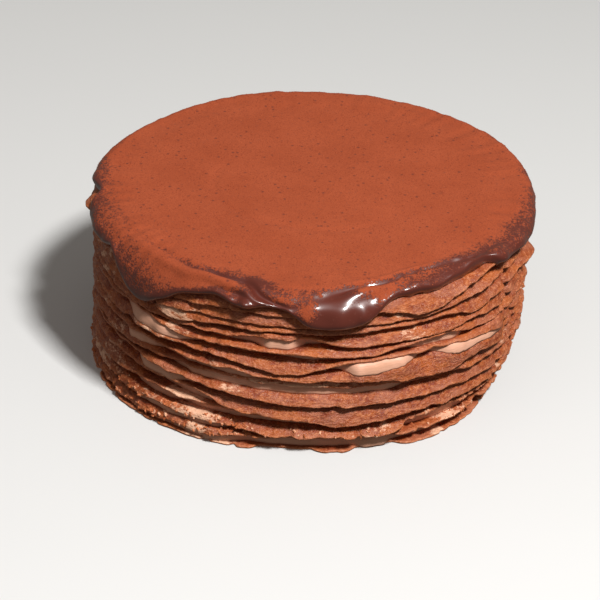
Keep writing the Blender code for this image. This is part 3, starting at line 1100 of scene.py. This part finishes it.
def scatter_tree(grain: Grain) -> bpy.types.NodeTree:
    """A tree that scatters grains over a surface where its attribute says so.

    Args:
        grain: which shape is scattered.

    Returns:
        The tree. It leaves only the grains.
    """
    made = GeometryTree(f"scattered_{grain.value}", {
        "Density": ("NodeSocketFloat", 1.0e6),
        "Smallest": ("NodeSocketFloat", 0.1 * MM),
        "Largest": ("NodeSocketFloat", 0.2 * MM),
        "Flatness": ("NodeSocketFloat", 0.6),
        "Seed": ("NodeSocketInt", 1),
    })
    graph = made.graph
    density = made.stored("scatter") * made.given("Density")
    sockets = {"Mesh": made.given("Geometry"), "Density": density, "Seed": made.given("Seed")}
    points = graph.add("GeometryNodeDistributePointsOnFaces", {}, sockets)
    if grain is Grain.POWDER:
        sockets = {"Segments": 4, "Rings": 2, "Radius": 1.0}
        shape = graph.out("GeometryNodeMeshUVSphere", {}, sockets)
    else:
        ball = graph.out("GeometryNodeMeshIcoSphere", {}, {"Radius": 1.0, "Subdivisions": 2})
        noise = graph.add("ShaderNodeTexNoise", {}, {"Scale": 1.3, "Detail": 2.0})
        centred = graph.vectors("SUBTRACT", {0: graph.wire(noise, "Color"), 1: (0.5, 0.5, 0.5)})
        offset = graph.vectors("SCALE", {0: centred, "Scale": 2.2})
        shape = graph.out("GeometryNodeSetPosition", {}, {"Geometry": ball, "Offset": offset})
    size = made.drawn(made.given("Smallest"), made.given("Largest"), 11)
    thin = graph.out("ShaderNodeCombineXYZ", {}, {
        0: 1.0, 1: made.drawn(0.6, 1.0, 12), 2: made.given("Flatness"),
    })
    sockets = {
        "Points": graph.wire(points, "Points"),
        "Instance": shape,
        "Rotation": made.drawn((0.0, 0.0, 0.0), (TAU, TAU, TAU), 13, "FLOAT_VECTOR"),
        "Scale": graph.vectors("SCALE", {0: thin, "Scale": size}),
    }
    return made.end(graph.out("GeometryNodeInstanceOnPoints", {}, sockets))


# --- The cake ---

def top_mm(node: str) -> float:
    """The height of a CAD node's highest point, in millimetres."""
    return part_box(node)[1][2] / MM


@dataclass
class Crepe:
    """One crepe: flat over the cream, and hanging outside it.

    Attributes:
        layer: its place in the stack, from 1.
        thick: its thickness in the middle.
        thin: its thickness at the rim.
        rim_radius: the usual radius of its rim.
        usual_drop: how far its rim usually hangs.
        steepest: how steeply it can hang, as a slope.
        tip: the length of the rounded rim.
        bend: how sharply it turns down; 1 is straight.
        past: how far its rim always passes the cream that holds it.
        frayed: how much more of its rim is torn off at WORN_AT.
        ripple: how strongly it ripples where it hangs.
        places: how many places its section has before the tip.
        thins_at: the radius from where it grows thinner.
        loose_at: the radius from where it is free to ripple.
    """

    layer: int
    thick: float = 1.35
    thin: float = 1.0
    rim_radius: float = 83.7
    usual_drop: float = 2.6
    steepest: float = 5.5
    tip: float = 0.55
    bend: float = 1.7
    past: float = 0.6
    frayed: float = 1.1
    ripple: float = 1.0
    places: int = 21
    thins_at: float = 74.0
    loose_at: float = 76.0

    def __post_init__(self) -> None:
        """Reads where the crepe lies from its CAD node."""
        self.floor = (self.layer - 1) * (top_mm("crepe_02") - top_mm("crepe_01"))
        self.seed = 100 * self.layer
        self.ragged = self.layer <= RAGGED

    def lift(self) -> Array:
        """How much higher it lies near the rim, for each step around."""
        if self.layer == 1:
            return np.zeros(AROUND)
        hand = traced(LIFTS.get(self.layer, ((0, 0),)), 1.5)
        return hand + waves(self.seed + 1, 0.25, 2, 9)

    def flat(self) -> Array:
        """The heights it has where cream holds it, by azimuth and radius."""
        return self.floor + self.lift()[:, None] * eased((RADII - 68.0) / 8.0)[None, :]

    def drop(self) -> Array:
        """How far its rim hangs below its flat part, for each step around."""
        if self.layer == 1:
            return np.zeros(AROUND)
        chance = self.usual_drop + waves(self.seed + 2, 1.5, 2, 9)
        hand = traced(DROPS[self.layer], 0.9)
        mixed = front() * hand + (1.0 - front()) * np.maximum(chance, -0.2)
        return mixed + waves(self.seed + 3, 0.16, 12, 60)

    def rim(self) -> Array:
        """The radius of its rim before it meets anything, for each step around."""
        chance = waves(self.seed + 5, 0.5, 2, 9)
        hand = traced(REACHES[self.layer], 0.9)
        mixed = front() * hand + (1.0 - front()) * chance
        fine = waves(self.seed + 6, 0.13, 20, 120)
        worn = self.frayed * eased((30.0 - np.abs(AZIMUTHS - WORN_AT)) / 15.0)
        ragged = 1.3 * np.clip(traced(CRUMBS, 2.0), 0.0, 1.0) + 0.4 if self.ragged else 0.0
        bitten = 0.35 + worn + ragged
        torn = bitten * np.clip(waves(self.seed + 7, 1.0, 18, 150) - 0.5, 0.0, 1.6)
        return self.rim_radius + mixed + fine - torn - tucked(self.layer) + bulged(self.layer)

    def lay(self, pile: Pile, held_to: Array) -> tuple[Path, Path]:
        """Lays the crepe on the pile.

        Args:
            pile: what is below, which then includes the crepe.
            held_to: the radius up to which cream holds it level, for each step around.

        Returns:
            Its underside and its outer side.
        """
        rim = np.maximum(self.rim(), held_to + self.past)
        bend_at = held_to[:, None]
        flat = self.flat()
        turned = np.clip((RADII[None, :] - bend_at) / (rim[:, None] - bend_at), 0.0, 1.0)
        low = self.floor - self.drop()
        wanted = flat - (flat - low[:, None]) * turned ** self.bend
        lie = drape(wanted, pile.top, self.steepest)
        reach = np.maximum(rim, first_below(lie, low + 0.25))
        reach = blurred(np.minimum(reach, rim + 2.0), 0.35)
        lower = Path.follow(lie, reach, np.linspace(0.0, 1.0, self.places) ** 0.8, self.tip)
        share = eased((lower.radius - self.thins_at) / 8.0)
        thickness = self.thick - (self.thick - self.thin) * share
        thickness = thickness * (1.0 + waves(self.seed + 9, 0.10, 8, 90))[:, None]
        middle = lower.raised(0.5 * thickness)
        half = 0.5 * thickness * lower.rounding(self.tip)
        self.side = middle.normals()
        under, outer = middle.raised(-half), middle.raised(half)
        pile.cover(outer)
        return under, outer

    def smear(self) -> Array:
        """How much cream is left on its outside, for each step around."""
        amounts = [smear.window() for smear in SMEARS.get(self.layer, ())]
        chance = np.clip(waves(self.seed + 10, 0.22, 3, 20), 0.0, 0.5) * (1.0 - front())
        return np.clip(sum(amounts, np.zeros(AROUND)) + chance, 0.0, 1.0)

    def build(self, pile: Pile, held_to: Array, ripples: bpy.types.NodeTree,
              finish: Any) -> bpy.types.Object:
        """Lays, meshes, ripples and dresses the crepe.

        Args:
            pile: what is below, which then includes the crepe.
            held_to: the radius up to which cream holds it level, for each step around.
            ripples: the tree that ripples it.
            finish: its material.

        Returns:
            The piece.
        """
        under, outer = self.lay(pile, held_to)
        radius, height, column = shell(under, outer, 2)
        side, up = (part[:, column].T for part in self.side)
        to_rim = under.to_rim[:, column].T
        outer_rings = under.radius.shape[1] - 1
        outside = (np.arange(column.size) >= column.size - outer_rings)[:, None]
        loose = eased((radius - self.loose_at) / 5.0) * (0.0 if self.layer == 1 else 1.0)
        smear = self.smear()[None, :] * outside * eased((radius - 77.0) / 3.0)
        rows = Rows(radius, height, {
            "loose": loose,
            # rim: nearness to the rim, which the finish paints paler, partly as the thin edge's own
            # colour and partly as painted highlight
            "rim": np.exp(-to_rim / 0.9),
            "smear": smear,
            "side_x": side * np.sin(ANGLES),
            "side_y": -side * np.cos(ANGLES),
            "side_z": up,
            "scatter": Crumbs().share(self.layer, height, to_rim) * outside,
        })
        piece = rows.piece(f"crepe_sheet_{self.layer:02d}")
        modified(piece, ripples, {
            "Height": self.ripple * MM,
            "Size": 4.5,
            "Roughening": (0.5 if self.ragged else 0.26) * MM,
            "Seed": float(self.layer),
            "Material": finish,
        })
        keep(piece, "crepe", [f"crepe_{self.layer:02d}"])
        return piece


@dataclass
class Cream:
    """The cream spread on one crepe, level in the middle and squeezed out here and there.

    Attributes:
        layer: the crepe it lies on, from 1.
        usual_end: its usual radius.
        rounding: how far back from its face it usually starts to curve.
        steepest: how steeply it can hang over a rim, as a slope.
        grip: how far inside its end it still holds the crepe on it.
        slack: how much sooner it lets go of it, for each millimetre of further rounding.
    """

    layer: int
    usual_end: float = 79.2
    rounding: float = 1.2
    steepest: float = 1.6
    grip: float = 0.9
    slack: float = 1.2

    def __post_init__(self) -> None:
        """Fixes its unevenness by its place in the stack."""
        self.seed = 5000 + 100 * self.layer

    def end(self) -> tuple[Array, Array]:
        """Its radius and its rounding, for each step around."""
        radius = self.usual_end + waves(self.seed, 0.5, 3, 16)
        if self.layer in HELD_BACK:
            radius = radius + traced(HELD_BACK[self.layer], 2.0)
        rounding = np.full(AROUND, self.rounding)
        for bulge in BULGES.get(self.layer, ()):
            window = bulge.window()
            wavy = bulge.reach + waves(self.seed + int(bulge.centre) + 200, 0.2, 10, 90)
            radius = radius + window * (wavy - radius)
            rounding = rounding + window * (bulge.rounding - rounding)
        return radius - tucked(self.layer) + bulged(self.layer), rounding

    def build(self, pile: Pile, above: Crepe, finish: Any) -> None:
        """Spreads, meshes and dresses the cream.

        Args:
            pile: what is below, which then includes the cream.
            above: the crepe that will lie on it.
            finish: its material.
        """
        end, rounding = self.end()
        curve_at = end - rounding
        lie = drape(np.full_like(pile.top, -5.0), pile.top, self.steepest)
        top = above.flat() - TOUCH
        shares = np.linspace(0.0, 1.0, 7)
        turns = np.radians(np.linspace(0.0, 90.0, 10))[1:]
        straight = INNER + shares * (curve_at - INNER)[:, None]
        curved = curve_at[:, None] + rounding[:, None] * np.sin(turns)
        radius = np.concatenate([straight, curved], axis=1)
        keep_up = np.concatenate([np.ones(shares.size), np.cos(turns)])
        low = np.empty_like(radius)
        high = np.empty_like(radius)
        for step in range(AROUND):
            low[step] = np.interp(radius[step], RADII, lie[step])
            high[step] = np.interp(radius[step], RADII, top[step])
        high = low + np.maximum(high - low, 0.25) * keep_up
        pile.cover(Path(radius, high, radius, radius))
        rows = Rows(
            np.concatenate([radius, radius[:, ::-1][:, 1:]], axis=1).T,
            np.concatenate([low, high[:, ::-1][:, 1:]], axis=1).T,
        )
        piece = rows.piece(f"cream_filling_{self.layer:02d}")
        piece.data.materials.append(finish)
        keep(piece, "cream", [f"cream_{self.layer:02d}"])


@dataclass
class Ganache:
    """The ganache: poured on the top crepe, rolled at its edge, and run down in drips.

    Attributes:
        lip: its thickness at the edge.
        steepest: how steeply it can hang, as a slope.
        tip: the length of its rounded edge.
        smooth: how many times its skin is eased.
        places: how many places its section has before the tip.
        rings: how many rings cover the part inside the inner radius.
        thinnest: its least thickness.
        roll: how much thicker its shoulder is behind.
        powdered: how far below its top loose cocoa lies.
    """

    lip: float = 1.7
    steepest: float = 8.0
    tip: float = 1.1
    smooth: int = 5
    places: int = 46
    rings: int = 40
    thinnest: float = 0.7
    roll: float = 0.7
    powdered: float = 9.0

    def __post_init__(self) -> None:
        """Reads its height from its CAD node."""
        self.top = top_mm("ganache")

    def edge(self) -> Array:
        """The height of its lower edge, for each step around."""
        return self.top - traced(GANACHE_EDGE, 0.9) + waves(41, 0.12, 20, 90)

    def relief(self, along: Array, to_rim: Array) -> Array:
        """What its skin adds to its thickness: creases, rolls, beads, lip and lumps.

        Args:
            along: distance from the inner radius, by step and place along.
            to_rim: distance left to its edge, in the same order.

        Returns:
            The added thickness.
        """
        bead_size = np.clip(0.3 + waves(44, 0.35, 10, 40), 0.0, 1.2)[:, None]
        lip = bead_size * np.exp(-(((to_rim - 2.0) / 1.5) ** 2))
        lumps = (waves(45, 0.2, 7, 26) * (0.35 + 0.65 * front()))[:, None]
        strokes = sum(stroke.relief(along) for stroke in STROKES)
        beads = sum(bead.share(along) for bead in BEADS)
        return strokes + beads + lip + lumps * eased((along - 14.0) / 5.0)

    def dust_and_crease_shade(self, path: Path) -> Array:
        """How thickly cocoa covers its skin, from 1 to 0, at each place of its path; it is taken out of
        the creases, as painted shade.
        """
        until = (traced(COCOA_TO, 1.5) + waves(46, 0.6, 8, 50))[:, None]
        fade = traced(COCOA_FADES, 2.0)[:, None]
        rest = traced(COCOA_REST, 1.2)[:, None]
        spread = 1.0 - (1.0 - rest) * eased((path.along - until + fade) / (1.3 * fade))
        # Painted shade: cocoa is taken out of the creases, so that the dark ganache darkens them as a
        # shadow would.
        creases = sum(np.minimum(stroke.relief(path.along), 0.0) for stroke in STROKES)
        patches = sum(patch.share(path.along) for patch in PATCHES)
        covered = np.clip(spread + 0.55 * creases + patches, 0.0, 1.0)
        return covered * eased((path.to_rim - 0.4) / traced(BARE_EDGE, 2.0)[:, None])

    def build(self, pile: Pile, finish: Any) -> bpy.types.Object:
        """Pours, meshes and dresses the ganache.

        Args:
            pile: what is below.
            finish: its material.

        Returns:
            The piece.
        """
        wanted = np.where(RADII[None, :] < 70.0, pile.top, 0.0)
        lie = drape(wanted, pile.top, self.steepest)
        least = traced(GANACHE_LEAST, 1.0) + waves(42, 0.15, 20, 90)
        reach = blurred(np.maximum(first_below(lie, self.edge()), least), 0.3)
        lower = Path.follow(lie, reach, np.linspace(0.0, 1.0, self.places), self.tip)
        skin = lower.smoothed(self.smooth)
        soft = eased(lower.to_rim / 6.0)
        ahead = front()[:, None]
        for line in (skin.radius, skin.height):
            hanging = blurred(line, 1.7) * ahead + blurred(line, 4.0) * (1.0 - ahead)
            line += (hanging - line) * (1.0 - soft) + (blurred(line, 5.0) - line) * soft
        body = self.top - lower.height[:, :1]
        shoulder = skin.radius - bulged(LAYERS)[:, None] - SHOULDER
        thickness = body + (self.lip - body) * eased(shoulder / 3.2)
        thickness += (1.0 - ahead) * self.roll * np.exp(-((shoulder / 3.5) ** 2))
        relief = self.relief(blurred(lower.along, 1.5), blurred(lower.to_rim, 1.0))
        thickness = np.maximum(thickness + relief, self.thinnest)
        upper = skin.raised(thickness * (0.12 + 0.88 * lower.rounding(self.tip)))
        upper.radius[:, -1] = lower.radius[:, -1]
        upper.height[:, -1] = lower.height[:, -1]
        upper.radius[:, 1:] = np.maximum(upper.radius[:, 1:], upper.radius[:, :1])
        upper.height += (self.top - upper.height) * (1.0 - eased(lower.along / 7.0))
        radius, height, column = shell(lower, upper, 3)
        dust_and_crease_shade = self.dust_and_crease_shade(lower)[:, column].T

        inner = np.linspace(INNER, 1.5, self.rings)[1:, None] * np.ones((1, AROUND))
        level = np.repeat(height[-1:], self.rings - 1, axis=0)
        settle = (inner / INNER) ** 3
        level = self.top * (1.0 - settle) + level * settle + self.dents(inner)
        radius = np.concatenate([radius, inner])
        height = np.concatenate([height, level])
        dust_and_crease_shade = np.concatenate([dust_and_crease_shade, np.ones_like(inner)])
        scatter = dust_and_crease_shade * (height > self.top - self.powdered)
        rows = Rows(radius, height, {"dust_and_crease_shade": dust_and_crease_shade, "scatter": scatter})
        piece = rows.piece("ganache_coat")
        piece.data.materials.append(finish)
        keep(piece, "ganache", ["ganache"])
        return piece

    def dents(self, radius: Array) -> Array:
        """Shallow unevenness of the top inside the inner radius, with the palette knife's arc."""
        x = radius * np.sin(ANGLES)
        y = -radius * np.cos(ANGLES)
        rolling = 0.2 * np.sin(x / 13.0 + 0.6) * np.cos(y / 15.0) + 0.10 * np.sin(y / 8.0 + x / 19.0)
        arc = traced(((-90, 38), (-18, 32), (29, 35.5), (90, 40)), 3.0)
        stroke = np.exp(-(((radius - arc) / 1.3) ** 2))
        stroke *= eased((95.0 - np.abs(AZIMUTHS + 35.0)) / 30.0)
        edge = eased((INNER - radius) / 8.0)
        return (rolling - 0.5 * stroke - 0.12) * edge


@dataclass
class Scattered:
    """Small loose things over a surface.

    Attributes:
        name: the piece's name.
        grain: what is scattered.
        density: how many to a square metre where the surface says 1.
        smallest: the smallest half size, in millimetres.
        largest: the largest half size.
        flatness: thickness as a share of width.
        seed: fixes their places.
    """

    name: str
    grain: Grain
    density: float
    smallest: float
    largest: float
    flatness: float
    seed: int

    def build(self, surface: bpy.types.Object, finish: Any, slot: str) -> None:
        """Scatters, meshes and dresses them.

        Args:
            surface: the piece they lie on, with the attribute "scatter".
            finish: their material.
            slot: a name passed on to keep.
        """
        piece = placed(self.name, surface.data.copy())
        modified(piece, scatter_tree(self.grain), {
            "Density": self.density,
            "Smallest": self.smallest * MM,
            "Largest": self.largest * MM,
            "Flatness": self.flatness,
            "Seed": self.seed,
            "Material": finish,
        })
        keep(piece, slot)


@dataclass
class Crumbs:
    """Torn bits of crepe and cream that cling to the lowest rims.

    Attributes:
        upto: the highest crepe that they cling to.
        lowest: the smallest height they lie at.
        reach: how far from the rim they lie.
    """

    upto: int = RAGGED
    lowest: float = 2.4
    reach: float = 3.0

    def share(self, layer: int, height: Array, to_rim: Array) -> Array:
        """How thickly they lie on a crepe.

        Args:
            layer: the crepe's place in the stack.
            height: heights by ring and step.
            to_rim: distance to the rim, in the same order.

        Returns:
            1 where they lie thickest, and 0 where there are none.
        """
        if layer > self.upto:
            return np.zeros_like(height)
        around = np.clip(traced(CRUMBS, 1.5) + waves(70 + layer, 0.25, 20, 90), 0.0, 1.0)
        return around * np.exp(-((to_rim / self.reach) ** 2)) * (height > self.lowest)

    def build(self, sheets: Sequence[bpy.types.Object], finish: Any) -> None:
        """Scatters, meshes and dresses them.

        Args:
            sheets: the crepes that they cling to.
            finish: their material.
        """
        joined = bmesh.new()
        for sheet in sheets:
            joined.from_mesh(sheet.data)
        mesh = bpy.data.meshes.new("crumb_ground")
        joined.to_mesh(mesh)
        joined.free()
        ground = bpy.data.objects.new("crumb_ground", mesh)
        crumbs = Scattered("crumbs", Grain.CRUMB, density=4.0e5, smallest=0.28, largest=1.0,
                           flatness=0.45, seed=9)
        crumbs.build(ground, finish, "crepe")
        bpy.data.objects.remove(ground)
        bpy.data.meshes.remove(mesh)


# --- Studio ---

@dataclass
class Studio:
    """A pale floor, a soft key light from the front right, a weak fill, and the camera.

    Attributes:
        away: the camera's distance in front of the cake's axis.
        high: the camera's height.
        aside: how far the camera is to the right.
        down: how many degrees it looks down.
        roll: how many degrees it leans.
        lens: its focal length.
        sensor: the width of its sensor.
        floor_half: half the floor's width.
        floor_at: the floor's height, in millimetres.
        aim: the height above the floor that the lamps face.
    """

    away: float = 1.0043
    high: float = 0.6026
    aside: float = -0.0030
    down: float = 30.22
    roll: float = 2.11
    lens: float = 177.1
    sensor: float = 36.0
    floor_half: float = 3.0
    floor_at: float = -0.05
    aim: float = 0.035

    def floor(self) -> None:
        """Lays the floor."""
        mesh = bpy.data.meshes.new("floor")
        half, level = self.floor_half, self.floor_at * MM
        flat = ((-half, -half), (half, -half), (half, half), (-half, half))
        corners = [(x, y, level) for x, y in flat]
        mesh.from_pydata(corners, [], [(0, 1, 2, 3)])
        mesh.materials.append(FloorFinish().material())
        floor = placed("floor", mesh)
        floor.visible_diffuse = False
        floor.visible_glossy = False

    def light(self, name: str, *, azimuth: float, rise: float, away: float, size: float,
              power: float, tint: tuple[float, float, float]) -> None:
        """Hangs a square lamp that faces the cake.

        Args:
            name: its name.
            azimuth: where it hangs around the cake.
            rise: its height as an angle above the floor.
            away: its distance.
            size: the length of its side.
            power: its power in watts.
            tint: its colour.
        """
        lamp = bpy.data.lights.new(name, "AREA")
        lamp.energy = power
        lamp.size = size
        lamp.color = tint
        holder = placed(name, lamp)
        turn, lean = math.radians(azimuth), math.radians(rise)
        level = math.cos(lean)
        spot = Vector((level * math.sin(turn), -level * math.cos(turn), math.sin(lean)))
        holder.location = spot * away + Vector((0.0, 0.0, self.aim))
        holder.rotation_euler = spot.to_track_quat("Z", "Y").to_euler()

    def lights(self) -> None:
        """Sets the lamps and the air around them."""
        self.light("key", azimuth=35.0, rise=56.0, away=1.7, size=0.26, power=36.0,
                   tint=(1.0, 0.985, 0.965))
        self.light("fill", azimuth=-50.0, rise=60.0, away=2.2, size=1.4, power=2.0,
                   tint=(0.86, 0.93, 1.0))
        world = bpy.data.worlds.new("air")
        world.use_nodes = True
        air = world.node_tree.nodes["Background"]
        air.inputs["Color"].default_value = (1.0, 0.90, 0.80, 1.0)
        air.inputs["Strength"].default_value = 0.16
        bpy.context.scene.world = world

    def camera(self) -> None:
        """Sets the camera."""
        data = bpy.data.cameras.new("camera")
        data.sensor_width = self.sensor
        data.lens = self.lens
        data.clip_end = 20.0
        holder = placed("camera", data)
        place = Matrix.Translation((self.aside, -self.away, self.high))
        pitch = Matrix.Rotation(math.radians(90.0 - self.down), 4, "X")
        lean = Matrix.Rotation(math.radians(self.roll), 4, "Z")
        holder.matrix_world = place @ pitch @ lean
        bpy.context.scene.camera = holder

    def build(self) -> None:
        """Sets up the studio."""
        self.floor()
        self.lights()
        self.camera()
        view = bpy.context.scene.view_settings
        view.view_transform = "Standard"
        view.look = "None"
        view.exposure = 0.0
        view.gamma = 1.0


def main() -> None:
    """Lays the cake from the bottom up, dresses it and sets up the studio."""
    logging.basicConfig(level=logging.INFO, format="%(name)s: %(message)s")
    crepe_finish = CrepeFinish().material()
    cream_finish = CreamFinish().material()
    ripples = ripple_tree()
    pile = Pile()
    crepes = [Crepe(layer) for layer in range(1, LAYERS + 1)]
    creams = [Cream(layer) for layer in range(1, LAYERS)]
    held_below = FOOT - tucked(1)
    sheets = []
    for crepe, cream, above in zip(crepes, creams, crepes[1:]):
        end, rounding = cream.end()
        held_to = np.maximum(held_below, end - cream.grip)
        sheets.append(crepe.build(pile, held_to, ripples, crepe_finish))
        cream.build(pile, above, cream_finish)
        held_below = end - cream.slack * np.maximum(rounding - cream.rounding, 0.0)
    crepes[-1].build(pile, held_below, ripples, crepe_finish)
    coat = Ganache().build(pile, GanacheFinish().material())
    crumbs = Crumbs()
    crumbs.build(sheets[:crumbs.upto], CrumbFinish().material())
    powder = Scattered("cocoa_grains", Grain.POWDER, density=5.2e5, smallest=0.10, largest=0.30,
                       flatness=0.7, seed=5)
    powder.build(coat, GrainFinish().material(), "ganache")
    Studio().build()


if __name__ == "__main__":
    main()
